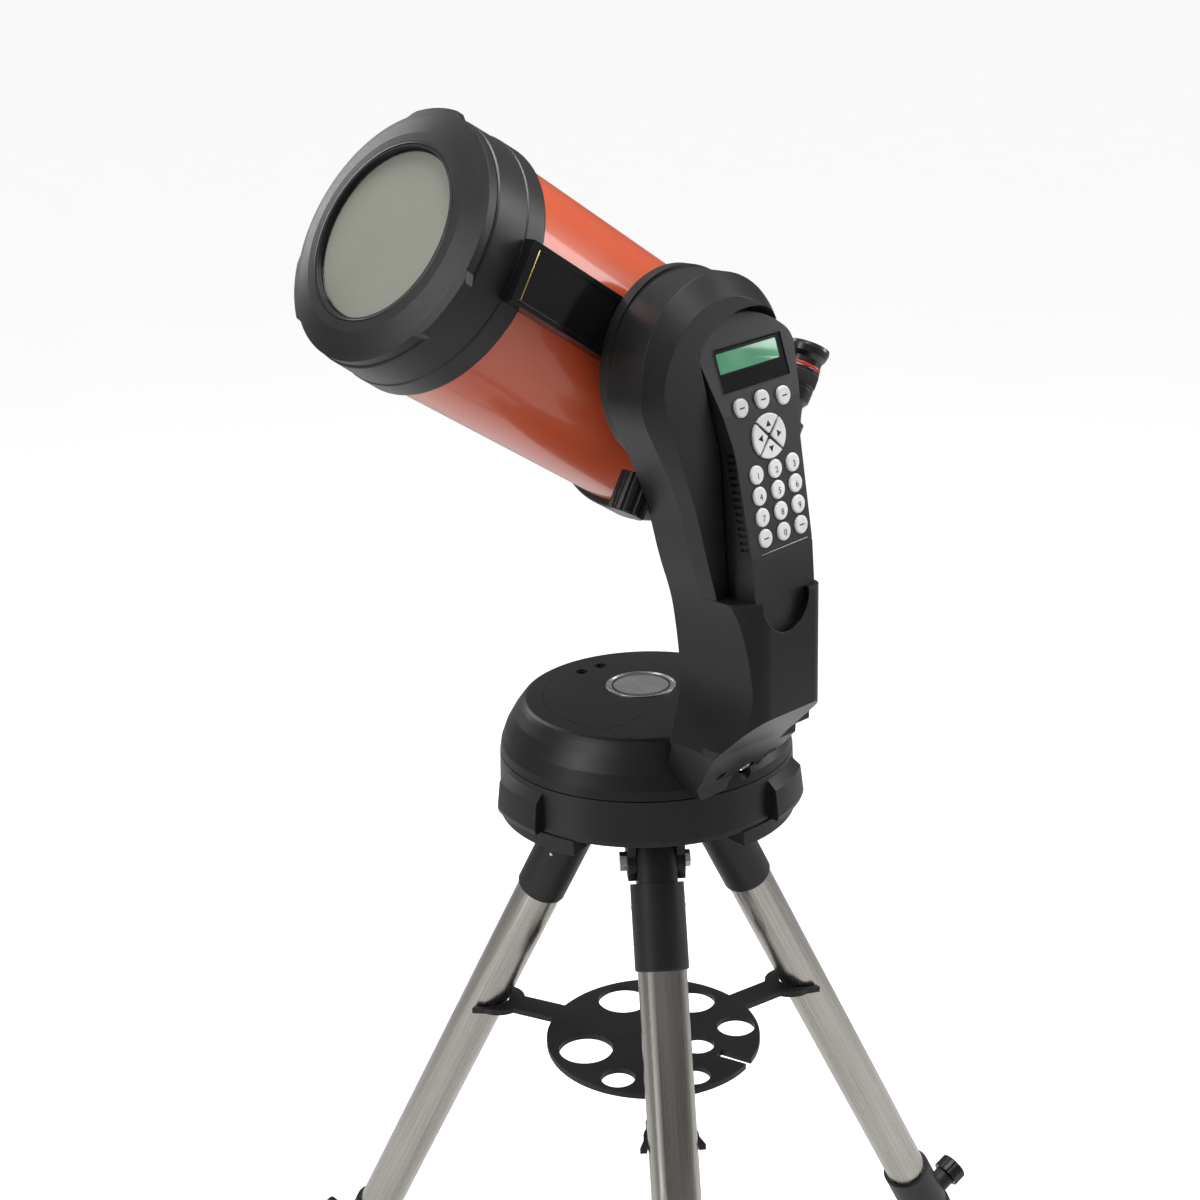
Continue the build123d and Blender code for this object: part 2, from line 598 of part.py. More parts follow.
def arrow_key(angle):
    # a quarter of the pad's oval disc, on a stem
    disc = fillet(cyl(1, 0.16).edges().group_by(Axis.Z)[-1], 0.05)
    disc = Pos(*PAD, KEY_Z) * scale(disc, by=(16.6, 15.4, 16.6))
    wedge = Pos(*PAD, -6) * (Rot(0, 0, angle) * (Pos(0.75, 0, 0) * quadrant(1.3, 12)))
    stem = Pos(*PAD, -5.2) * (Rot(0, 0, angle) * (Pos(9.5, 0, 0) * cyl(3.2, 4.3)))
    return (disc & wedge) + stem


def arrow_cut(angle):
    wedge = Pos(*PAD, -9) * Rot(0, 0, angle) * Pos(0.35, 0, 0) * quadrant(0.9, 14)
    return wedge & (Pos(*PAD, -9) * scale(cyl(1, 1), by=(16.95, 15.75, 14)))


def handset_case():
    case = handset_prism() & side_body() & band(SPLIT_Z, 1)
    cuts = [Pos(x, y, -9) * cyl(KEY_R + 0.3, 13) for x, y in [*TOP_KEYS.values(), *NUMBER_KEYS]]
    cuts += [arrow_cut(angle) for angle in ARROWS.values()]
    cuts.append(WINDOW * Box(68.4, 30.4, 5.0))
    case = case - cuts
    case = case - (handset_prism(-2.6) & band(-40, -6.6))
    # grip grooves down the -x side, then one groove across the face
    case = case - [Pos(-35.4 + 0.0183 * (34 - y), y, -5) * Box(3.2, 2.4, 7.0)
                   for y in [33.0 - 5.1 * i for i in range(14)]]
    case = case - (Pos(-2, -41.5, 0.2) * Box(90, 0.9, 1.4))
    return largest(case)


def handset_back():
    back = (handset_prism() & side_body()) - band(SPLIT_Z - 0.08, 6)
    back -= handset_prism(-2.6) & side_body(back_shift=3.0, face_shift=5)
    return largest(back)


def handset_screen():
    return WINDOW * (Pos(0, 0, -2.4) * Box(68.2, 30.2, 1.9, align=STANDING)
                     + Pos(-2.0, 5.0, -0.55) * Box(60.6, 13.8, 0.25, align=STANDING))


for build in (handset_case, handset_back, handset_screen):
    put(build.__name__, HANDSET * build())
for name, (x, y) in TOP_KEYS.items():
    put(name, HANDSET * key(x, y))
for name, angle in ARROWS.items():
    put(name, HANDSET * arrow_key(angle))
put("number_keys", *[HANDSET * key(x, y) for x, y in NUMBER_KEYS])

# ------------------------------------------------------------- optical tube
CELL_BORE = TUBE_R + 0.05               # bore of the cells around the tube
FOCUS_X = 42                            # focus shaft, beside the tube axis
FOCUS_BACK = Pos(FOCUS_X, 0, REAR_BACK)
PRIMARY_BACK = REAR_BACK + 40
DIAGONAL_S = -170.0
SADDLE_KNOB = (94.2, 61.4)              # (x, z)


def optical_tube():
    start = REAR_FRONT - 14
    return Pos(0, 0, start) * pipe(TUBE_R, TUBE_RI, CELL_REAR + 20 - start)


def front_cell():
    return rev((CELL_BORE, CELL_REAR), (CELL_R + 0.6, CELL_REAR), (CELL_R + 0.8, CELL_REAR + 1),
               (CELL_R + 0.3, CELL_REAR + 15.5), (CELL_R - 0.5, CELL_REAR + 16.5),
               (CELL_R - 1.6, CELL_FRONT - 1), (CELL_R - 2.6, CELL_FRONT), (77, CELL_FRONT),
               (77, CELL_FRONT - 6), (81.0, CELL_FRONT - 6), (81.0, CELL_FRONT - 15),
               (76.5, CELL_FRONT - 15), (76.5, CELL_FRONT - 18), (CELL_BORE, CELL_FRONT - 20))


def corrector_plate():
    return Pos(0, 0, CELL_FRONT - 14.9) * pipe(80.9, 20, 5)


def secondary_mirror():
    return cyl(25, 9, CELL_FRONT - 24) + cyl(19.9, 13, CELL_FRONT - 16) \
        + cyl(28, 6, CELL_FRONT - 9.8)


def rear_cell():
    back, front = REAR_BACK, REAR_FRONT
    cell = rev((0, back), (50, back), (60, back + 4), (70, back + 14), (80, back + 28),
               (87.5, back + 43), (REAR_R, back + 56), (REAR_R, front - 1.5),
               (REAR_R - 1, front), (CELL_BORE, front), (CELL_BORE, front - 14.1),
               (80.5, front - 14.1), (80.5, back + 38), (74, back + 28), (62, back + 14),
               (57, back + 9), (0, back + 9))
    cell -= cyl(19.0, 30, back - 1)
    cell += Pos(0, 0, back + 6) * pipe(23, 19.0, 60)
    return cell - FOCUS_BACK * cyl(3.1, 20, -2)


def primary_mirror():
    back = PRIMARY_BACK
    mirror = rev((23.06, back), (75, back + 2), (76, back + 3), (76, back + 14),
                 (60, back + 12.2), (40, back + 10.6), (27, back + 10.2), (27, back + 22),
                 (23.06, back + 22))
    return mirror - Pos(FOCUS_X, 0, back - 9) * cyl(3.1, 18)


def focus_knob():
    knob = FOCUS_BACK * Pos(0, 0, -2) * (Rot(180, 0, 0) * ribbed(12.5, 14, 19, 3.0))
    return knob + FOCUS_BACK * cyl(3.0, 47.5, -3)


def visual_back():
    back = REAR_BACK
    body = rev((16.0, back - 40), (21.5, back - 40), (22.5, back - 39), (22.5, back - 24),
               (20.5, back - 22), (20.5, back - 14), (26.5, back - 11), (26.5, back - 0.05),
               (18.95, back - 0.05), (18.95, back + 20), (16.0, back + 20))
    for angle in (40, 140):       # thumbscrews
        screw = cyl(2.0, 4) + cyl(4.2, 6, 4)
        body += Rot(0, 0, angle) * (Pos(22, 0, back - 33) * TO_X * screw)
    return body


def star_diagonal():
    diagonal = cyl(15.94, REAR_BACK - 2 - DIAGONAL_S - 12, DIAGONAL_S + 12)
    body = Pos(0, 0, DIAGONAL_S) * Box(34, 38, 38)
    body -= Plane(origin=(0, -13, DIAGONAL_S - 13), x_dir=(1, 0, 0), z_dir=(0, -1, -1)) \
        * Box(60, 80, 40, align=STANDING)
    diagonal += body
    diagonal += Pos(0, 18, DIAGONAL_S) * TO_Y * cyl(18.0, 22)
    diagonal -= Pos(0, 22, DIAGONAL_S) * TO_Y * cyl(15.96, 40)
    diagonal -= Pos(0, -1, DIAGONAL_S) * TO_Y * cyl(13, 40)
    return diagonal - cyl(13, 60, DIAGONAL_S)


def eyepiece():
    body = rev((0, 26), (15.9, 26), (15.9, 40.2), (14.2, 44), (12.2, 52), (12.2, 54), (15.2, 58),
               (15.6, 66), (15.6, 84), (14.6, 86), (14.6, 92), (16.8, 96), (17.6, 101),
               (17.0, 104), (10.5, 104), (9.5, 101), (0, 101))
    for z in (68, 71, 74, 77, 80):
        body -= Pos(0, 0, z) * pipe(17, 15.0, 1.3)
    return Plane(origin=(0, 0, DIAGONAL_S), x_dir=(1, 0, 0), z_dir=(0, 1, 0)) * body


def dovetail_bar():
    length, middle = BAR_S1 - BAR_S0, (BAR_S0 + BAR_S1) / 2
    bar = Pos((86 + BAR_OUT) / 2, 0, middle) * Box(BAR_OUT - 86, BAR_W, length)
    # clear of the tube and both cells
    bar = bar - cyl(CELL_BORE, 600, -200)
    bar = bar - cyl(CELL_R + 0.85, 60, CELL_REAR - 0.2)
    bar = bar - cyl(REAR_R + 0.05, 200 + REAR_FRONT + 0.2, -200)
    bar -= Pos(BAR_OUT - 0.2, 0, middle) * Box(0.8, BAR_W - 7, length - 8)
    return largest(bar)


def saddle():
    # disc on the altitude shaft with two jaws around the bar
    jaw_in, jaw_out, jaw_w = 89.5, BAR_OUT + 0.4, 11
    body = Pos(BAR_OUT + 0.3, 0, ALT_S) * TO_X * cyl(SADDLE_R, 8.2)
    for side in (-1, 1):
        body += Pos((jaw_in + jaw_out) / 2, side * (BAR_W / 2 + 0.3 + jaw_w / 2), ALT_S - 4) \
            * Box(jaw_out - jaw_in, jaw_w, 78)
    x, z = SADDLE_KNOB
    return largest(body - Pos(x, 0, z) * TO_MINUS_Y * cyl(4.05, 50))


def saddle_knob():
    x, z = SADDLE_KNOB
    return Pos(x, -78, z) * TO_MINUS_Y * ribbed(13.3, 12, 28, 4.4) \
        + Pos(x, -23, z) * TO_MINUS_Y * cyl(4.0, 57)


# front filter: a cap with three grip lobes, and the film disc behind its bezel
CAP_BACK = Pos(0, 0, CELL_FRONT + 0.3)


def filter_cap():
    height = 14
    lobed = cyl(CAP_R, height)
    for k in range(3):
        mid = -28 + 120 * k
        arc = [polar(CAP_LOBE_R, mid - 13 + 26 * j / 8) for j in range(9)]
        lobed += extrude(polygon((0, 0), polar(CAP_R - 1, mid - 19), *arc,
                                 polar(CAP_R - 1, mid + 19)), height)
    cap = lobed & rev((0, 0), (CAP_LOBE_R + 2, 0), (CAP_LOBE_R + 2, 4.0),
                      (CAP_LOBE_R - 1.5, 6.5), (CAP_R - 3.6, 8.0), (70, 13.2), (64, height),
                      (0, height))
    cap = cap - cyl(WINDOW_R, 20, 9.0) - cyl(64.5, 10.2, -1)
    cap = cap - cyl(CAP_R - 8, 3.5, -1)
    # collar that reaches into the front cell
    cap += Pos(0, 0, -5.5) * pipe(76.8, 74.2, 8.5) - cyl(64, 12, -1)
    return CAP_BACK * largest(cap)


def filter_film():
    return CAP_BACK * cyl(64.4, 2.8, 6.2)


for build in (optical_tube, front_cell, corrector_plate, secondary_mirror, rear_cell,
              primary_mirror, focus_knob, visual_back, star_diagonal, eyepiece, dovetail_bar,
              saddle, saddle_knob, filter_cap, filter_film):
    put(build.__name__, TUBE_FRAME * build())
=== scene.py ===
# A telescope on a single fork arm and a tripod, with a handset. Metres, +Z up, tripod feet lowest.
# The tube, legs, handset and window are tilted, so their parts are placed along axes read from
# the joints and pieces. Outlines and profiles are in millimetres, in a local frame (x, y, z out).
import bpy
import bmesh
import json
import random
from math import sin, cos, radians, pi
from mathutils import Vector, Matrix

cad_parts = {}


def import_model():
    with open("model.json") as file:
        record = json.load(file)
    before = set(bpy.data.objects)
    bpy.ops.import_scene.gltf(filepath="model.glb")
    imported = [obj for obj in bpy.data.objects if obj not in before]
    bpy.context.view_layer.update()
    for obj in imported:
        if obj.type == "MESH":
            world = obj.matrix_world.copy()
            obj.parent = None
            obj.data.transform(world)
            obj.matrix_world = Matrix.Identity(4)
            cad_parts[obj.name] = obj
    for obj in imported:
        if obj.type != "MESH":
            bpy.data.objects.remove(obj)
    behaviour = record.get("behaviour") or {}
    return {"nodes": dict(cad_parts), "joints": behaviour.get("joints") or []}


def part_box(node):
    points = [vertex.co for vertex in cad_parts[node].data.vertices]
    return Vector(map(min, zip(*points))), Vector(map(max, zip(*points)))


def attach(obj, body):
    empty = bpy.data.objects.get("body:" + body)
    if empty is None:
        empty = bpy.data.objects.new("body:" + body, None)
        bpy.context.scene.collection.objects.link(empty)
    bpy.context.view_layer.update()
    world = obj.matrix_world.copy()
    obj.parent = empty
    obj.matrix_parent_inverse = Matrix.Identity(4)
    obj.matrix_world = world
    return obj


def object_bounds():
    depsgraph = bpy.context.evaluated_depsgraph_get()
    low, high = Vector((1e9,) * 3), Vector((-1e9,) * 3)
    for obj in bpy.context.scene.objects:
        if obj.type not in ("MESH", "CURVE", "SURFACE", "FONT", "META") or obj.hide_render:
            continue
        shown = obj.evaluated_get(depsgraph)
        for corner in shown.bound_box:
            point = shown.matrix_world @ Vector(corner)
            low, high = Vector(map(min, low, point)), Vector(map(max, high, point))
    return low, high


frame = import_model()
CAD_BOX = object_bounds()
NODES = frame["nodes"]
JOINTS = {joint["name"]: joint for joint in frame["joints"]}
random.seed(7)
scene = bpy.context.scene
MM = 1000   # millimetres in a metre


# ------------------------------------------------------------ measuring the pieces
def joint_axis(name):
    return Vector(JOINTS[name]["axis"]).normalized()


def joint_place(name):
    return Vector(JOINTS[name]["pos_m"])


def islands(node):
    """Loose parts of a node, welded on a copy: [(points, [(face normal, face area)])]."""
    bm = bmesh.new()
    bm.from_mesh(NODES[node].data)
    bmesh.ops.remove_doubles(bm, verts=bm.verts, dist=1e-6)
    seen, parts = set(), []
    for first in bm.verts:
        if first.index in seen:
            continue
        stack, part, faces = [first], [], {}
        seen.add(first.index)
        while stack:
            vert = stack.pop()
            part.append(vert.co.copy())
            for face in vert.link_faces:
                faces[face.index] = face
            for edge in vert.link_edges:
                other = edge.other_vert(vert)
                if other.index not in seen:
                    seen.add(other.index)
                    stack.append(other)
        parts.append((part, [(f.normal.copy(), f.calc_area()) for f in faces.values()]))
    bm.free()
    return parts


def points_of(node):
    return [vert.co.copy() for vert in NODES[node].data.vertices]


def span(points, axis, origin=Vector((0, 0, 0))):
    """Least and greatest place of the points along an axis."""
    values = [(p - origin).dot(axis) for p in points]
    return min(values), max(values)


def extent(points, axis):
    low, high = span(points, axis)
    return high - low


def middle(points, *axes):
    """The point whose place along each given axis is the middle of the span."""
    centre = Vector((0, 0, 0))
    for axis in axes:
        low, high = span(points, axis)
        centre += axis * (low + high) / 2
    return centre


def flat_normal(faces, towards):
    """Normal of the largest flat area that faces a given way."""
    groups = {}
    for normal, size in faces:
        if normal.dot(towards) > 0.2:
            key = (round(normal.x, 2), round(normal.y, 2), round(normal.z, 2))
            group = groups.setdefault(key, [Vector((0, 0, 0)), 0.0])
            group[0] += normal * size
            group[1] += size
    return max(groups.values(), key=lambda group: group[1])[0].normalized()


TUBE_AHEAD = joint_axis("tube_balance_slide")       # along the tube, forwards
TUBE_UP = joint_axis("eyepiece_slide")              # up, across the tube
TO_ARM = TUBE_UP.cross(TUBE_AHEAD).normalized()     # from the tube towards the arm
TUBE_CENTRE = joint_place("diagonal_turn")          # a point on the tube axis

FACE_OUT = -joint_axis("key_middle_press")          # out of the handset's face
CASE_UP = joint_axis("handset_lift")                # up the handset
ACROSS = CASE_UP.cross(FACE_OUT).normalized()       # across the handset

# leg number: (a point on its axis, direction down the leg, fold axis)
LEGS = {i: (joint_place(f"leg_{i}_fold"), joint_axis(f"leg_{i}_extend"),
            joint_axis(f"leg_{i}_fold")) for i in (1, 2, 3)}

BADGE_LOW, BADGE_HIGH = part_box("deck_badge")
BADGE_CENTRE = (BADGE_LOW + BADGE_HIGH) / 2


# ------------------------------------------------------------ shader building
class Nodes:
    """Fills an emptied node tree. An input takes a value or another node's output."""

    def __init__(self, owner):
        owner.use_nodes = True
        self.tree = owner.node_tree
        self.tree.nodes.clear()

    def feed(self, socket, value):
        if isinstance(value, bpy.types.NodeSocket):
            self.tree.links.new(value, socket)
        elif socket.type == "RGBA":
            socket.default_value = (*value, 1.0)
        else:
            socket.default_value = value

    def node(self, kind, inputs=(), **settings):
        node = self.tree.nodes.new(kind)
        for key, value in settings.items():
            setattr(node, key, value)
        for key, value in dict(inputs).items():
            self.feed(node.inputs[key], value)
        return node

    def remap(self, value, source=(0.3, 0.7), to=(0, 1)):
        return self.node("ShaderNodeMapRange", {
            "Value": value, "From Min": source[0], "From Max": source[1],
            "To Min": to[0], "To Max": to[1]}).outputs["Result"]


class Material(Nodes):
    """A principled surface with object coordinates at hand."""

    def __init__(self, name):
        self.material = bpy.data.materials.new(name)
        super().__init__(self.material)
        self.principled = self.node("ShaderNodeBsdfPrincipled")
        self.node("ShaderNodeOutputMaterial", {"Surface": self.principled.outputs["BSDF"]})
        self.coords = self.node("ShaderNodeTexCoord").outputs

    def surface(self, inputs):
        """Feeds the principled shader and hands back the finished material."""
        for key, value in inputs.items():
            self.feed(self.principled.inputs[key], value)
        return self.material

    def noise(self, scale, detail=3.0, roughness=0.55, distortion=0.0, coords=None):
        return self.node("ShaderNodeTexNoise", {
            "Vector": coords or self.coords["Object"], "Scale": scale, "Detail": detail,
            "Roughness": roughness, "Distortion": distortion}).outputs["Fac"]

    def math(self, operation, first, second):
        return self.node("ShaderNodeMath", {0: first, 1: second},
                         operation=operation).outputs[0]

    def vector_math(self, operation, *operands):
        return self.node("ShaderNodeVectorMath", enumerate(operands),
                         operation=operation).outputs

    def mix(self, factor, first, second, blend="MIX"):
        return self.node("ShaderNodeMix", {0: factor, 6: first, 7: second},
                         data_type="RGBA", blend_type=blend).outputs[2]

    def bevel(self, radius):
        return self.node("ShaderNodeBevel", {"Radius": radius}, samples=4).outputs["Normal"]

    def bump(self, height, strength, distance, under=None):
        """A bumped normal, laid over the normal `under` if there is one."""
        inputs = {"Height": height, "Strength": strength, "Distance": distance}
        if under is not None:
            inputs["Normal"] = under
        return self.node("ShaderNodeBump", inputs).outputs["Normal"]

    def edges(self, radius=0.0007):
        """0 on flat areas, 1 on edges."""
        normal = self.node("ShaderNodeNewGeometry").outputs["Normal"]
        match = self.vector_math("DOT_PRODUCT", self.bevel(radius), normal)["Value"]
        return self.remap(match, source=(0.995, 0.86))


def tone(colour, gain, lift=0.0):
    return tuple(min(1, c * gain + lift) for c in colour)


# ------------------------------------------------------------ materials
def plastic(name, colour, roughness=0.42, spread=0.10, grain=1500.0, bump=0.35, depth=0.00012,
            edge_highlight_gain=0.22, specular=0.34):
    """Grained plastic or paint, lighter on its edges in patches: a painted highlight along the
    edges.
    """
    m = Material(name)
    cloud = m.noise(9.0, detail=4)
    fine = m.noise(grain, detail=2, roughness=0.6)
    patches = m.remap(m.noise(220.0, detail=4, roughness=0.7), source=(0.35, 0.65), to=(0.4, 1.0))
    # painted highlight: the colour is lightened along the edges that the bevel normal finds, broken
    # into patches
    painted_edge_mask = m.math("MULTIPLY", m.math("MULTIPLY", m.edges(), patches), edge_highlight_gain)
    base = m.mix(m.remap(cloud, source=(0.35, 0.65)), tone(colour, 0.82), tone(colour, 1.22, 0.002))
    half = spread / 2
    return m.surface({
        "Base Color": m.mix(painted_edge_mask, base, tone(colour, 2.6, 0.018)),
        "Roughness": m.math("ADD", m.remap(cloud, to=(roughness - half, roughness + half)),
                            m.remap(fine, to=(-0.06, 0.06))),
        "Specular IOR Level": specular,
        "Normal": m.bump(fine, strength=bump, distance=depth, under=m.bevel(0.0006))})


def orange_paint():
    m = Material("orange_gloss_paint")
    base = m.mix(m.remap(m.noise(5.0)), (0.57, 0.074, 0.019), (0.63, 0.088, 0.023))
    mottle = m.remap(m.noise(48.0, detail=2), to=(0, 0.12))
    smooth = m.noise(18.0, detail=2, roughness=0.5)
    return m.surface({
        "Base Color": m.mix(mottle, base, (0.68, 0.12, 0.035)),
        "Roughness": m.remap(smooth, to=(0.30, 0.36)),
        "Coat Weight": 0.5,
        "Coat Roughness": m.remap(smooth, to=(0.07, 0.09)),
        "Normal": m.bump(m.noise(160.0, detail=1), strength=0.02, distance=0.0002)})


def brushed_steel(name, along, fold):
    """Steel with long streaks down the leg."""
    m = Material(name)
    colour = (0.405, 0.385, 0.355)
    scale_along, scale_across = 5.0, 1100.0
    axes = (along * scale_along, fold * scale_across, along.cross(fold) * scale_across)
    places = [m.vector_math("DOT_PRODUCT", m.coords["Object"], axis)["Value"] for axis in axes]
    coords = m.node("ShaderNodeCombineXYZ", enumerate(places)).outputs["Vector"]
    streaks = m.noise(1.0, roughness=0.65, coords=coords)
    broad = m.noise(0.22, detail=2, roughness=0.5, coords=coords)
    blotch = m.noise(14.0, detail=4, roughness=0.6)
    base = m.mix(m.remap(streaks), tone(colour, 0.78), tone(colour, 1.2))
    stain = m.remap(blotch, source=(0.45, 0.75), to=(0, 0.22))
    return m.surface({
        "Metallic": 1.0,
        "Base Color": m.mix(stain, base, (0.36, 0.325, 0.285)),
        "Roughness": m.math("ADD", m.remap(broad, to=(0.25 - 0.06, 0.25 + 0.08)),
                            m.remap(blotch, to=(-0.03, 0.05))),
        "Anisotropic": 0.55,
        "Normal": m.bump(broad, strength=0.05, distance=0.0001,
                         under=m.bump(streaks, strength=0.10, distance=0.00006))})


def metal(name, colour, roughness, scale=600.0, bump=0.08):
    m = Material(name)
    fine = m.noise(scale, roughness=0.6)
    cloud = m.remap(m.noise(30.0, detail=4))
    return m.surface({
        "Metallic": 1.0,
        "Base Color": m.mix(cloud, tone(colour, 0.85), tone(colour, 1.1)),
        "Roughness": m.remap(fine, to=(roughness * 0.8, roughness * 1.25)),
        "Normal": m.bump(fine, strength=bump, distance=0.0001, under=m.bevel(0.0004))})


def spun_silver():
    """Silver with fine rings about the middle of the badge."""
    m = Material("spun_silver")
    offset = m.vector_math("SUBTRACT", m.coords["Object"], BADGE_CENTRE)["Vector"]
    distance = m.vector_math("LENGTH", offset)["Value"]
    radial = m.node("ShaderNodeCombineXYZ", {0: m.math("MULTIPLY", distance, 5200.0)})
    rings = m.noise(1.0, roughness=0.6, coords=radial.outputs["Vector"])
    return m.surface({
        "Metallic": 1.0,
        "Base Color": m.mix(m.remap(rings), (0.50, 0.50, 0.51), (0.78, 0.78, 0.78)),
        "Roughness": m.remap(m.noise(900.0, detail=2), to=(0.24, 0.4)),
        "Anisotropic": 0.5,
        "Normal": m.bump(rings, strength=0.15, distance=0.00008, under=m.bevel(0.0003))})


def filter_film():
    m = Material("grey_filter_film")
    waves = m.noise(7.0, roughness=0.5, distortion=0.6)
    fine = m.noise(520.0, detail=2)
    return m.surface({
        "Base Color": m.mix(m.remap(waves), (0.255, 0.256, 0.215), (0.315, 0.318, 0.272)),
        "Metallic": 0.25,
        "Roughness": m.remap(fine, to=(0.30, 0.38)),
        "Coat Weight": 0.35,
        "Coat Roughness": 0.12,
        "Normal": m.bump(fine, strength=0.02, distance=0.00005,
                         under=m.bump(waves, strength=0.03, distance=0.004))})


def glass(name, colour):
    m = Material(name)
    cloud = m.noise(60.0)
    return m.surface({
        "Base Color": m.mix(m.remap(cloud), colour, tone(colour, 1.05)),
        "Transmission Weight": 0.9,
        "Roughness": m.remap(cloud, to=(0.01, 0.05)),
        "IOR": 1.5})


def green_display():
    """Faintly lit green with a fine grid of cells."""
    m = Material("green_display")
    cloud = m.noise(30.0)
    base = m.mix(m.remap(cloud), (0.085, 0.30, 0.17), (0.15, 0.42, 0.25))
    columns, rows = 80.0, 16.0
    grid = m.node("ShaderNodeTexBrick", {
        "Vector": m.coords["UV"], "Scale": 1.0, "Mortar Size": 0.0016,
        "Brick Width": 1 / columns, "Row Height": 1 / rows, "Color1": (1, 1, 1),
        "Color2": (0.93, 0.93, 0.93), "Mortar": (0.80, 0.80, 0.80)}, offset=0.0)
    green = m.mix(0.8, base, grid.outputs["Color"], blend="MULTIPLY")
    return m.surface({
        "Base Color": green,
        "Emission Color": green,
        "Emission Strength": 0.12,
        "Roughness": m.remap(cloud, to=(0.08, 0.16))})


def pale_floor():
    """Matt floor that looks brighter to the camera than the light it reflects."""
    m = Material("pale_floor")
    camera_ray = m.node("ShaderNodeLightPath").outputs["Is Camera Ray"]
    return m.surface({
        "Base Color": m.mix(m.noise(3.0, detail=2), (0.80, 0.80, 0.80), (0.84, 0.84, 0.84)),
        "Roughness": 0.95,
        "Specular IOR Level": 0.1,
        "Emission Color": (1, 1, 1),
        "Emission Strength": m.math("MULTIPLY", camera_ray, 0.66)})


TEXTURED = plastic("black_textured_plastic", (0.0105, 0.0108, 0.0120), roughness=0.40, bump=0.40)
ARM = plastic("black_arm_plastic", (0.0090, 0.0092, 0.0102), roughness=0.36, grain=2200, bump=0.22)
CASE = plastic("black_handset_plastic", (0.0150, 0.0151, 0.0168), roughness=0.47, grain=1700,
               bump=0.45)
KNOB = plastic("black_knob_plastic", (0.0085, 0.0085, 0.0092), roughness=0.30, grain=1800, bump=0.2)
TRAY = plastic("black_tray_plastic", (0.0120, 0.0122, 0.0132), roughness=0.48, grain=1000,
               bump=0.45)
CELL = plastic("black_cell_casting", (0.0140, 0.0145, 0.0165), roughness=0.36, grain=1900,
               bump=0.30)
CAP = plastic("black_cap_plastic", (0.0125, 0.0128, 0.0140), roughness=0.40, grain=1100, bump=0.6,
              depth=0.0002)
CASTING = plastic("black_painted_casting", (0.0100, 0.0100, 0.0110), roughness=0.46, grain=900,
                  bump=0.5, depth=0.0002)
GLOSS = plastic("black_gloss_plate", (0.006, 0.006, 0.0065), roughness=0.10, grain=900, bump=0.03,
                edge_highlight_gain=0.6, spread=0.04)
ANODISED = plastic("black_anodised", (0.012, 0.012, 0.0125), roughness=0.28, grain=2600, bump=0.12,
                   edge_highlight_gain=0.7, specular=0.7)
KEY = plastic("pale_key", (0.80, 0.81, 0.79), bump=0.10, edge_highlight_gain=0.0, specular=0.5)
INK = plastic("black_ink", (0.012, 0.012, 0.012), roughness=0.55, grain=900, bump=0.05, edge_highlight_gain=0.0)
RUBBER = plastic("moulded_rubber", (0.020, 0.020, 0.020), roughness=0.72, grain=700, bump=0.5,
                 edge_highlight_gain=0.3, depth=0.0003)
ORANGE = orange_paint()
FILM = filter_film()
SILVER = spun_silver()
BRIGHT = metal("bright_plated_steel", (0.62, 0.58, 0.50), roughness=0.22)
GOLD = metal("brass_line", (0.72, 0.52, 0.16), roughness=0.25)
BRASS = metal("machined_brass", (0.62, 0.46, 0.20), roughness=0.3)
MIRROR = metal("polished_mirror", (0.88, 0.88, 0.88), roughness=0.03, scale=200, bump=0.005)
CORRECTOR = glass("corrector_glass", (0.85, 0.95, 0.92))
EYE_LENS = glass("eye_lens", (0.6, 0.55, 0.9))
DISPLAY = green_display()
WINDOW = plastic("display_window", (0.010, 0.011, 0.012), roughness=0.12, grain=1200, bump=0.02,
                 edge_highlight_gain=0.2, spread=0.03)
ORANGE_RING = plastic("orange_ring", (0.70, 0.05, 0.015), roughness=0.30, bump=0.1, edge_highlight_gain=0.2)
# painted highlight: matt white for the bright edge of the trim line below the handset keys
PAINTED_LINE_WHITE = plastic("painted_highlight_line", (0.75, 0.75, 0.75), roughness=0.5, bump=0.1, edge_highlight_gain=0.0)
CONTACT = metal("jack_contact", (0.75, 0.75, 0.74), roughness=0.2)
LEG_STEEL = {i: brushed_steel(f"brushed_leg_{i}", along, fold)
             for i, (_, along, fold) in LEGS.items()}

FINISHES = (
    (CASTING, "tripod_head saddle"),
    (BRIGHT, "leg_pivot_bolts mounting_bolts"),
    (ANODISED, "centre_rod secondary_mirror visual_back star_diagonal eyepiece"),
    (TEXTURED, "base_ring base_shell battery_cover"),
    (BRASS, "azimuth_gear azimuth_pinion altitude_gear altitude_pinion"),
    (TRAY, "accessory_tray"),
    (KNOB, "tray_knob port_sockets power_switch drive_motors saddle_knob"
           " leg_1_knob leg_2_knob leg_3_knob"),
    (SILVER, "deck_badge"),
    (ARM, "fork_arm_inner fork_arm_outer"),
    (CASE, "handset_case handset_back leg_1_fittings leg_2_fittings leg_3_fittings"),
    (WINDOW, "handset_screen"),
    (KEY, "key_left key_middle key_right number_keys arrow_up arrow_left arrow_down arrow_right"),
    (ORANGE, "optical_tube"),
    (CELL, "front_cell rear_cell"),
    (GLOSS, "dovetail_bar"),
    (CORRECTOR, "corrector_plate"),
    (MIRROR, "primary_mirror"),
    (RUBBER, "focus_knob leg_1_foot leg_2_foot leg_3_foot"),
    (CAP, "filter_cap"),
    (FILM, "filter_film"),
)


def finish_nodes():
    finish_of = {node: material for material, names in FINISHES for node in names.split()}
    for name, node in NODES.items():
        is_leg_steel = name.startswith("leg_") and name.endswith(("tube", "extension"))
        node.data.materials.clear()
        node.data.materials.append(LEG_STEEL[int(name[4])] if is_leg_steel else finish_of[name])


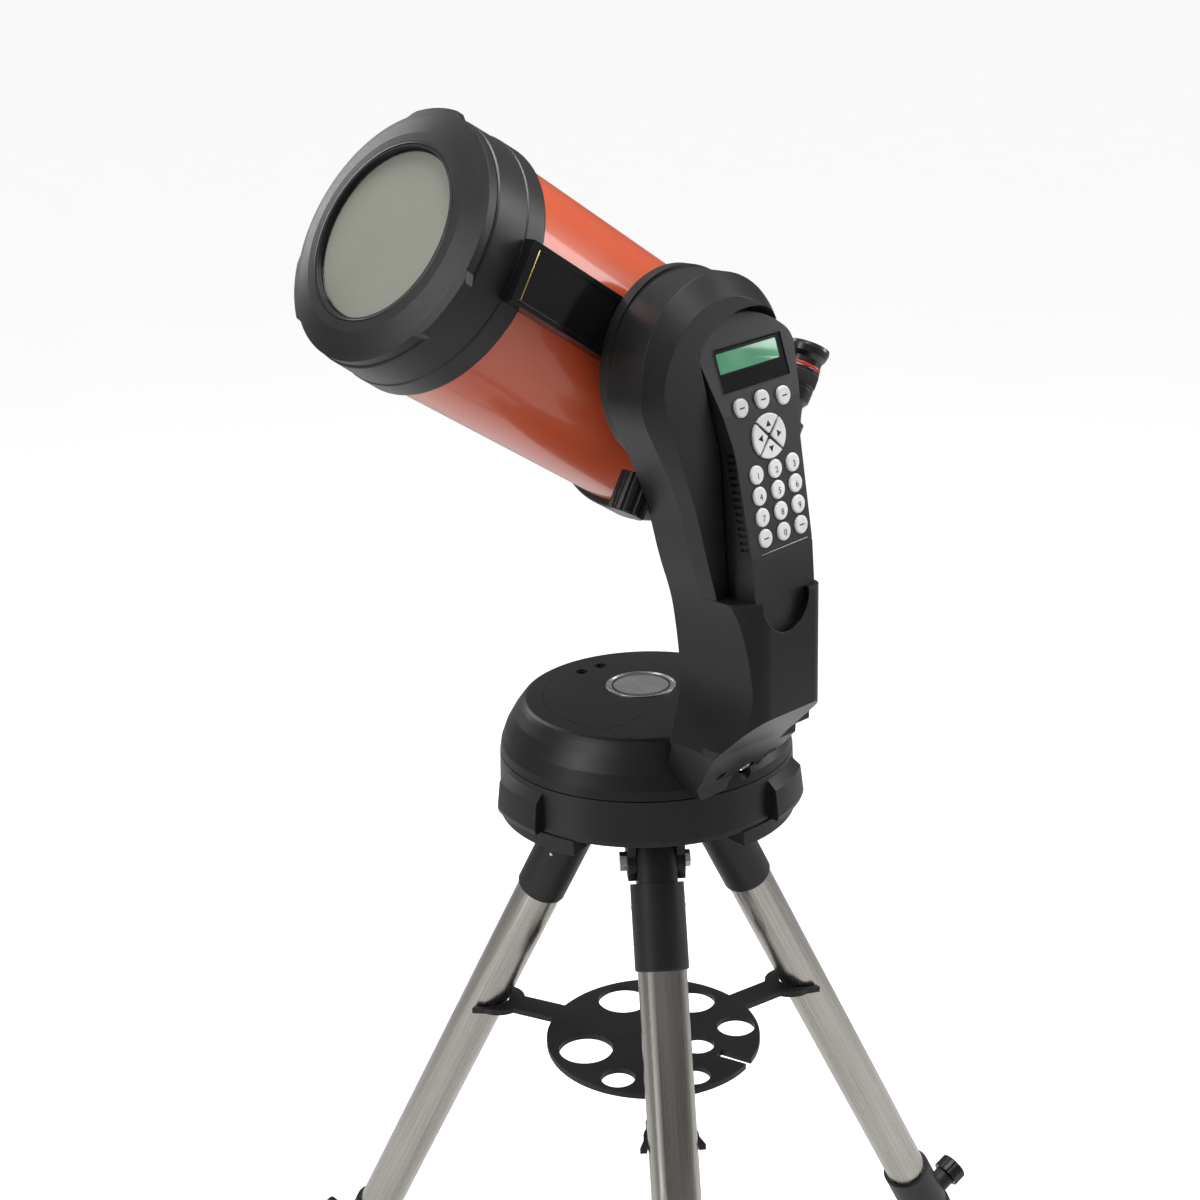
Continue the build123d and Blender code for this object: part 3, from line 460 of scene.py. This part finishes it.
# ------------------------------------------------------------ mesh helpers
def axes_matrix(x, y, z, origin):
    return Matrix((*zip(x, y, z, origin), (0, 0, 0, 1)))


def local_frame(origin, x, z):
    """A frame with the given z, and x turned square to it."""
    z = Vector(z).normalized()
    x = Vector(x)
    x = (x - z * x.dot(z)).normalized()
    return axes_matrix(x, z.cross(x), z, origin)


def vertex(bm, matrix, x, y, z):
    """A vertex from millimetres in a local frame."""
    return bm.verts.new(matrix @ Vector((x / MM, y / MM, z / MM)))


def add_mesh(name, bm, material, body, sharp=35):
    """Smooth shaded above the sharp angle in degrees, or flat if it is None."""
    mesh = bpy.data.meshes.new(name)
    bmesh.ops.recalc_face_normals(bm, faces=bm.faces)
    bm.to_mesh(mesh)
    bm.free()
    piece = bpy.data.objects.new(name, mesh)
    scene.collection.objects.link(piece)
    mesh.materials.append(material)
    if sharp is not None:
        mesh.shade_smooth()
        mesh.set_sharp_from_angle(angle=radians(sharp))
    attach(piece, body)
    return piece


def closed_loft(name, rings, matrix, material, body, sharp=35):
    """Closed rings of (x, y, z), each joined to the next and the last to the first."""
    bm = bmesh.new()
    rings = [[vertex(bm, matrix, *point) for point in ring] for ring in rings]
    for k, ring in enumerate(rings):
        following = rings[(k + 1) % len(rings)]
        for j in range(len(ring)):
            after = (j + 1) % len(ring)
            bm.faces.new((ring[j], ring[after], following[after], following[j]))
    return add_mesh(name, bm, material, body, sharp)


def lathe(name, profile, matrix, material, body, segments):
    """A closed profile of (radius, z) swept about local z."""
    angles = [2 * pi * k / segments for k in range(segments)]
    rings = [[(r * cos(a), r * sin(a), z) for r, z in profile] for a in angles]
    return closed_loft(name, rings, matrix, material, body)


def prism(name, outline, height, matrix, material, body, bevel):
    bm = bmesh.new()
    bottom = [vertex(bm, matrix, x, y, 0) for x, y in outline]
    top = [vertex(bm, matrix, x, y, height) for x, y in outline]
    bm.faces.new(bottom[::-1])
    bm.faces.new(top)
    for j in range(len(outline)):
        after = (j + 1) % len(outline)
        bm.faces.new((bottom[j], bottom[after], top[after], top[j]))
    bmesh.ops.bevel(bm, geom=list(bm.edges), offset=bevel / MM, segments=2, affect="EDGES",
                    profile=0.6)
    return add_mesh(name, bm, material, body)


def from_radius(radius, profile):
    """A (radius, z) profile from one whose first column is measured from a radius."""
    return [(radius + r, z) for r, z in profile]


def rectangle(half_width, half_height):
    return [(x * half_width, y * half_height) for x, y in ((-1, -1), (1, -1), (1, 1), (-1, 1))]


def rounded_rectangle(width, height, radius, steps=6):
    outline = []
    for quarter, (x, y) in enumerate(((1, 1), (-1, 1), (-1, -1), (1, -1))):
        for i in range(steps + 1):
            a = radians(90 * quarter + 90 * i / steps)
            outline.append((x * (width / 2 - radius) + radius * cos(a),
                            y * (height / 2 - radius) + radius * sin(a)))
    return outline


def turned(outline, degrees):
    c, s = cos(radians(degrees)), sin(radians(degrees))
    return [(x * c - y * s, x * s + y * c) for x, y in outline]


# ------------------------------------------------------------ handset keys
DASH = rectangle(2.4, 0.45)
ARROW_UP = [(-2.5, -1.9), (2.5, -1.9), (0, 2.4)]
MARK_HEIGHT = 0.12


def on_key(points, x=0.0, y=0.0, z=0.0):
    """A frame on top of a key: its middle, moved by x, y, z millimetres."""
    centre = middle(points, ACROSS, CASE_UP) + FACE_OUT * span(points, FACE_OUT)[1]
    centre = centre + ACROSS * x / MM + CASE_UP * y / MM + FACE_OUT * z / MM
    return local_frame(centre, ACROSS, FACE_OUT)


def key_sign(name, outline, points, body):
    prism(name, outline, MARK_HEIGHT, on_key(points, z=-0.04), INK, body, bevel=0.03)


def key_digit(name, digit, points, size=6.2, depth=0.14):
    curve = bpy.data.curves.new(name + "_curve", "FONT")
    curve.body = digit
    curve.size = size / MM
    curve.align_x = "CENTER"
    curve.align_y = "CENTER"
    curve.extrude = depth / 2 / MM
    curve.resolution_u = 4
    holder = bpy.data.objects.new(name + "_tmp", curve)
    scene.collection.objects.link(holder)
    depsgraph = bpy.context.evaluated_depsgraph_get()
    mesh = bpy.data.meshes.new_from_object(holder.evaluated_get(depsgraph))
    bpy.data.objects.remove(holder)
    mesh.transform(on_key(points, x=0.6, y=-1.0, z=0.03))
    bm = bmesh.new()
    bm.from_mesh(mesh)
    bmesh.ops.remove_doubles(bm, verts=bm.verts, dist=1e-6)
    add_mesh(name, bm, INK, "number_keys_body", sharp=None)


def number_key_signs(keys):
    """1 to 9 in three rows, then a dash, 0 and a dash. The keys come sorted from the top."""
    for row in range(4):
        in_row = sorted(keys[3 * row:3 * row + 3], key=lambda key: middle(key, ACROSS).dot(ACROSS))
        for column, key in enumerate(in_row):
            if row < 3 or column == 1:
                digit = str(3 * row + column + 1) if row < 3 else "0"
                key_digit(f"digit_{row}_{column}", digit, key)
            else:
                key_sign(f"key_dash_{row}_{column}", DASH, key, "number_keys_body")


def other_key_signs():
    for name in ("key_left", "key_middle", "key_right"):
        key_sign(name + "_mark", DASH, points_of(name), name + "_body")
    for quarter, name in enumerate(("arrow_up", "arrow_left", "arrow_down", "arrow_right")):
        key_sign(name + "_sign", turned(ARROW_UP, 90 * quarter), points_of(name), name + "_body")


def key_highlight_line(lowest_row):
    """Thin white line across the case, on its proudest flat place below the lowest keys: the trim
    line there, painted white as its bright edge highlight.
    """
    bottom, top = span(lowest_row, CASE_UP)[0], span(lowest_row, FACE_OUT)[1]
    found = None
    for drop in range(4, 12):
        start = (middle(lowest_row, ACROSS) + CASE_UP * (bottom - drop / MM)
                 + FACE_OUT * (top + 0.02))
        hit, place, normal, _ = NODES["handset_case"].ray_cast(start, -FACE_OUT)
        if hit and normal.dot(FACE_OUT) > 0.98:
            if found is None or place.dot(FACE_OUT) > found[0].dot(FACE_OUT) + 2e-5:
                found = (place, normal)
    if found:
        place, normal = found
        half_length = extent(lowest_row, ACROSS) * 0.47 * MM
        prism("key_highlight_line", rectangle(half_length, 0.22), MARK_HEIGHT,
              local_frame(place - normal * 0.00003, ACROSS, normal), PAINTED_LINE_WHITE, "handset",
              bevel=0.02)


def handset_keys():
    keys = [points for points, _ in islands("number_keys")]
    keys.sort(key=lambda key: -middle(key, CASE_UP).dot(CASE_UP))
    number_key_signs(keys)
    other_key_signs()
    key_highlight_line([point for key in keys[-3:] for point in key])


# ------------------------------------------------------------ handset display
def window_frame(name, width, height, radius, border, low, high, matrix, material):
    """A rounded frame from z low to high, with its outer top edge chamfered."""
    chamfer = 0.12
    outer = rounded_rectangle(width, height, radius)
    shoulder = rounded_rectangle(width - 2 * chamfer, height - 2 * chamfer, max(0.2, radius - 0.1))
    inner = rounded_rectangle(width - 2 * border, height - 2 * border, max(0.2, radius - border))
    levels = ((outer, low), (outer, high - chamfer), (shoulder, high), (inner, high), (inner, low))
    rings = [[(x, y, z) for x, y in outline] for outline, z in levels]
    closed_loft(name, rings, matrix, material, "handset")


def handset_display():
    """Green display, a frame about it, and a rim about the whole window."""
    screen, faces = islands("handset_screen")[0]
    out = flat_normal(faces, FACE_OUT)
    up = out.cross(ACROSS).normalized()
    top = span(screen, out)[1]
    flat = [p for p in screen if p.dot(out) > top - 2e-5]

    def on_window(points, z=0.0):
        return local_frame(middle(points, ACROSS, up) + out * (top + z / MM), ACROSS, out)

    width, height = extent(flat, ACROSS) * MM, extent(flat, up) * MM
    display = prism("display", rounded_rectangle(width - 1.0, height - 0.2, 0.8), 0.25,
                    on_window(flat, z=-0.02), DISPLAY, "handset", bevel=0.05)
    # UVs run 0 to 1 over the flat top of the window
    layer = display.data.uv_layers.new(name="UVMap")
    to_window = on_window(flat).inverted()
    for loop in display.data.loops:
        p = to_window @ display.data.vertices[loop.vertex_index].co
        layer.data[loop.index].uv = ((p.x * MM + width / 2) / width,
                                     (p.y * MM + height / 2) / height)

    window_frame("display_bezel", extent(screen, ACROSS) * MM + 1.4, extent(screen, up) * MM + 1.4,
                 radius=1.6, border=0.9, low=-0.9, high=0.52, matrix=on_window(screen),
                 material=CASE)
    window_frame("display_inner_frame", width + 1.6, height + 2.4, radius=1.2, border=1.1,
                 low=-0.3, high=0.32, matrix=on_window(flat), material=WINDOW)


# ------------------------------------------------------------ tube, eyepiece, badge, filter
SIDES = ((-1, "b"), (1, "a"))   # side of a mirrored pair, letter in its name

# turned profiles: (radius, z), or (offset from a measured radius, z)
BAR_SCREW = [(0.05, 0.2), (2.2, 0.2), (2.5, 0.9), (3.3, 0.95), (3.6, 0.7), (3.6, -0.1),
             (0.05, -0.1)]
EYEPIECE_RING = [(14.5, -19.6), (15.2, -19.6), (15.35, -19.3), (15.35, -17.1), (15.2, -16.8),
                 (14.5, -16.8)]
EYE_LENS_RING = [(8.4, -3.1), (10.6, -3.1), (10.9, -1.6), (9.6, -1.2), (8.6, -1.8)]
EYE_LENS_PROFILE = [(0.05, -3.1), (8.5, -3.1), (8.5, -2.4), (6.0, -1.6), (3.0, -1.1),
                    (0.05, -0.9)]
FILTER_BEZEL = [(-0.1, 0.1), (0, 3.9), (0.6, 4.7), (2.0, 5.35), (3.4, 5.0), (3.2, 4.2),
                (1.2, 3.6), (0.9, 0.1)]
FILM_RETAINER = [(-1.4, -0.02), (-0.05, -0.02), (-0.05, 1.1), (-1.1, 0.8)]
COLLAR_PIN = [(0.05, -0.6), (1.5, -0.6), (1.5, 0.2), (1.1, 0.6), (0.05, 0.7)]
COLLAR_LIP = [(-1.8, -0.1), (-0.1, -0.1), (0.05, 0.6), (-0.4, 1.6), (-1.4, 1.9), (-1.8, 1.4)]
JACK_SLEEVE = [(-2.2, -5.0), (-1.6, -5.0), (-1.6, 0.05), (-1.75, 0.2), (-2.1, 0.2), (-2.2, 0.05)]

# badge profiles: (fraction of the badge's radius, z)
BADGE_RING = [(0.80, -0.05), (0.835, -0.05), (0.835, 0.08), (0.80, 0.08)]
BADGE_RIM = [(0.955, -0.1), (0.995, -0.1), (0.995, 0.12), (0.975, 0.2), (0.955, 0.12)]


def dovetail_details():
    """A brass line across the bar near its front end and two screws near its rear end."""
    bar = points_of("dovetail_bar")
    rear, front = span(bar, TUBE_AHEAD, TUBE_CENTRE)
    low, high = span(bar, TUBE_UP, TUBE_CENTRE)
    face = span(bar, TO_ARM, TUBE_CENTRE)[1]

    def on_bar(along, up, sink):
        place = (TUBE_CENTRE + TUBE_AHEAD * along + TUBE_UP * ((low + high) / 2 + up)
                 + TO_ARM * (face - sink))
        return local_frame(place, TUBE_AHEAD, TO_ARM)

    prism("bar_end_line", rectangle(0.5, (high - low) / 2 * MM - 4.0), 0.22,
          on_bar(front - 0.0069, up=0, sink=0.00062), GOLD, "tube", bevel=0.05)
    for side, letter in SIDES:
        lathe("bar_screw_" + letter, BAR_SCREW, on_bar(rear + 0.008, up=side * 0.012, sink=0.0006),
              BRIGHT, "tube", segments=48)


def eyepiece_grip(points, top, matrix):
    """Ribbed rubber band about the eyepiece; every rib has two high and two low points."""
    ribs, per_rib, groove = 48, 4, 0.32
    low, high = -33.0, -22.5
    radius = 14.6
    for p in points:
        along = (p - top).dot(TUBE_UP)
        if -36.0 <= along * MM <= -12.0:
            radius = max(radius, ((p - top) - TUBE_UP * along).length * MM)
    # (z, height above the eyepiece's radius)
    profile = ((low, -0.5), (low, 0.0), (low + 0.5, 0.45), (high - 0.5, 0.45), (high, 0.0),
               (high, -0.5))
    rings = []
    for z, lift in profile:
        ring = []
        for k in range(ribs * per_rib):
            a = 2 * pi * k / (ribs * per_rib)
            r = radius + lift - (groove if k % per_rib > 1 and lift > 0 else 0.0)
            ring.append((r * cos(a), r * sin(a), z))
        rings.append(ring)
    closed_loft("eyepiece_grip", rings, matrix, RUBBER, "eyepiece", sharp=25)


def eyepiece_details():
    points = points_of("eyepiece")
    top = middle(points, TO_ARM, TUBE_AHEAD) + TUBE_UP * span(points, TUBE_UP)[1]
    matrix = local_frame(top, TO_ARM, TUBE_UP)
    lathe("eyepiece_orange_ring", EYEPIECE_RING, matrix, ORANGE_RING, "eyepiece",
          segments=96)
    eyepiece_grip(points, top, matrix)
    lathe("eye_lens_ring", EYE_LENS_RING, matrix, ANODISED, "eyepiece",
          segments=72)
    lathe("eye_lens", EYE_LENS_PROFILE, matrix, EYE_LENS, "eyepiece", segments=64)


def badge_rings():
    """A dark ring inside the badge's rim, and the rim."""
    radius = (BADGE_HIGH.x - BADGE_LOW.x) / 2 * MM
    matrix = local_frame((BADGE_CENTRE.x, BADGE_CENTRE.y, BADGE_HIGH.z), (1, 0, 0), (0, 0, 1))
    for name, profile, material in (("badge_ring", BADGE_RING, INK),
                                    ("badge_rim", BADGE_RIM, SILVER)):
        lathe(name, [(radius * part, z) for part, z in profile], matrix, material, "deck_lid",
              segments=96)


def filter_rings():
    """Rings about the opening of the filter cap, in front of the film."""
    points = points_of("filter_film")
    opening = extent(points, TO_ARM) / 2 * MM - 4.4
    centre = middle(points, TO_ARM, TUBE_UP) + TUBE_AHEAD * span(points, TUBE_AHEAD)[1]
    matrix = local_frame(centre, TO_ARM, TUBE_AHEAD)
    for name, profile, material in (("filter_bezel", FILTER_BEZEL, KNOB),
                                    ("film_retainer", FILM_RETAINER, GLOSS)):
        lathe(name, from_radius(opening, profile), matrix, material, "filter",
              segments=160)


# ------------------------------------------------------------ leg collars and port panel
def collar_details(i):
    """Two spring pins and an end lip on the collar of one leg."""
    origin, along, fold = LEGS[i]
    collar = min((points for points, _ in islands(f"leg_{i}_fittings")),
                 key=lambda points: span(points, along)[0])
    end = span(collar, along, origin)[1]
    end_points = [p for p in collar if (p - origin).dot(along) > end - 0.001]
    radius = max(abs(v) for v in span(end_points, fold, origin)) * MM
    for side, letter in SIDES:
        place = origin + along * (end - 0.047) + fold * side * (radius - 0.1) / MM
        lathe(f"collar_pin_{i}_{letter}", COLLAR_PIN, local_frame(place, along, fold * side),
              BRIGHT, f"leg_{i}", segments=32)
    lathe(f"collar_lip_{i}", from_radius(radius, COLLAR_LIP),
          local_frame(origin + along * end, along.cross(fold), along),
          CASE, f"leg_{i}", segments=96)


def jack_sleeve():
    """Bright sleeve in the widest socket that faces +x and down."""
    y_axis = Vector((0, 1, 0))
    sockets = [(points, flat_normal(faces, Vector((0.7, 0, -0.5))))
               for points, faces in islands("port_sockets")]
    socket, out = max(((points, n) for points, n in sockets if n.x > 0.4 and n.z < -0.4),
                      key=lambda found: extent(found[0], y_axis))
    centre = middle(socket, y_axis, out.cross(y_axis).normalized()) + out * span(socket, out)[1]
    lathe("jack_sleeve", from_radius(extent(socket, y_axis) / 2 * MM, JACK_SLEEVE),
          local_frame(centre, y_axis, out), CONTACT, "fork", segments=64)


# ------------------------------------------------------------ floor, world, lights, camera
CAMERA_PLACE = Vector((0.99044, -0.98038, 1.46583))
VIEW = Vector((-0.68878, 0.65021, -0.32064)).normalized()
VIEW_RIGHT = VIEW.cross(Vector((0, 0, 1))).normalized()      # level, before the roll
VIEW_AHEAD = Vector((VIEW.x, VIEW.y, 0)).normalized()        # level
CAMERA_ROLL = radians(-1.84)
LIGHT_AIM = Vector((0, 0, CAD_BOX[1].z - 0.24))


def floor():
    bm = bmesh.new()
    bmesh.ops.create_grid(bm, x_segments=2, y_segments=2, size=400)
    mesh = bpy.data.meshes.new("floor")
    bm.to_mesh(mesh)
    bm.free()
    plane = bpy.data.objects.new("floor", mesh)
    scene.collection.objects.link(plane)
    mesh.materials.append(pale_floor())
    plane.location.z = CAD_BOX[0].z - 0.0005


def world():
    """Near white to the camera; as light, it brightens from the horizon upwards."""
    scene.world = bpy.data.worlds.new("w")
    w = Nodes(scene.world)
    direction = w.node("ShaderNodeTexCoord").outputs["Generated"]
    height = w.node("ShaderNodeSeparateXYZ", {0: direction}).outputs["Z"]
    glow = w.remap(height, source=(0.0, 0.9), to=(0.07, 0.46))
    light, seen = [w.node("ShaderNodeBackground", {"Color": (1, 1, 1), "Strength": strength})
                   for strength in (glow, 0.98)]
    camera_ray = w.node("ShaderNodeLightPath").outputs["Is Camera Ray"]
    mixed = w.node("ShaderNodeMixShader", {0: camera_ray, 1: light.outputs[0], 2: seen.outputs[0]})
    w.node("ShaderNodeOutputWorld", {"Surface": mixed.outputs[0]})


def area_light(name, place, width, height, power, target=LIGHT_AIM):
    light = bpy.data.lights.new(name, "AREA")
    light.energy = power
    light.shape = "RECTANGLE"
    light.size = width
    light.size_y = height
    lamp = bpy.data.objects.new(name, light)
    scene.collection.objects.link(lamp)
    lamp.location = place
    lamp.rotation_euler = (target - place).to_track_quat("-Z", "Y").to_euler()


def in_view(right, ahead, up):
    """A place measured from the lights' aim, as the camera faces."""
    return LIGHT_AIM + VIEW_RIGHT * right + VIEW_AHEAD * ahead + Vector((0, 0, up))


def lights():
    area_light("key_left", in_view(right=-1.9, ahead=-1.1, up=1.15),
               width=0.9, height=1.6, power=25)
    area_light("top", LIGHT_AIM + Vector((0.1, 0.2, 1.9)), width=1.3, height=0.8, power=44)
    area_light("right_rim", in_view(right=1.9, ahead=0.4, up=0.6),
               width=0.6, height=1.9, power=22)
    area_light("back_left", in_view(right=-1.5, ahead=1.6, up=0.9),
               width=0.9, height=1.4, power=14)
    area_light("low_left", in_view(right=-1.7, ahead=-0.9, up=-0.75),
               width=0.35, height=1.2, power=3, target=LIGHT_AIM - Vector((0, 0, 0.5)))


def camera():
    lens = bpy.data.cameras.new("cam")
    lens.sensor_width = 36.0
    lens.lens = 56.8338
    lens.clip_start = 0.01
    cam = bpy.data.objects.new("cam", lens)
    scene.collection.objects.link(cam)
    right = VIEW_RIGHT * cos(CAMERA_ROLL) + VIEW_RIGHT.cross(VIEW) * sin(CAMERA_ROLL)
    cam.matrix_world = axes_matrix(right, right.cross(VIEW), -VIEW, CAMERA_PLACE)
    scene.camera = cam


# ------------------------------------------------------------ build
finish_nodes()
handset_keys()
handset_display()
dovetail_details()
eyepiece_details()
badge_rings()
filter_rings()
for leg in LEGS:
    collar_details(leg)
jack_sleeve()
floor()
world()
lights()
camera()
scene.view_settings.view_transform = "Standard"
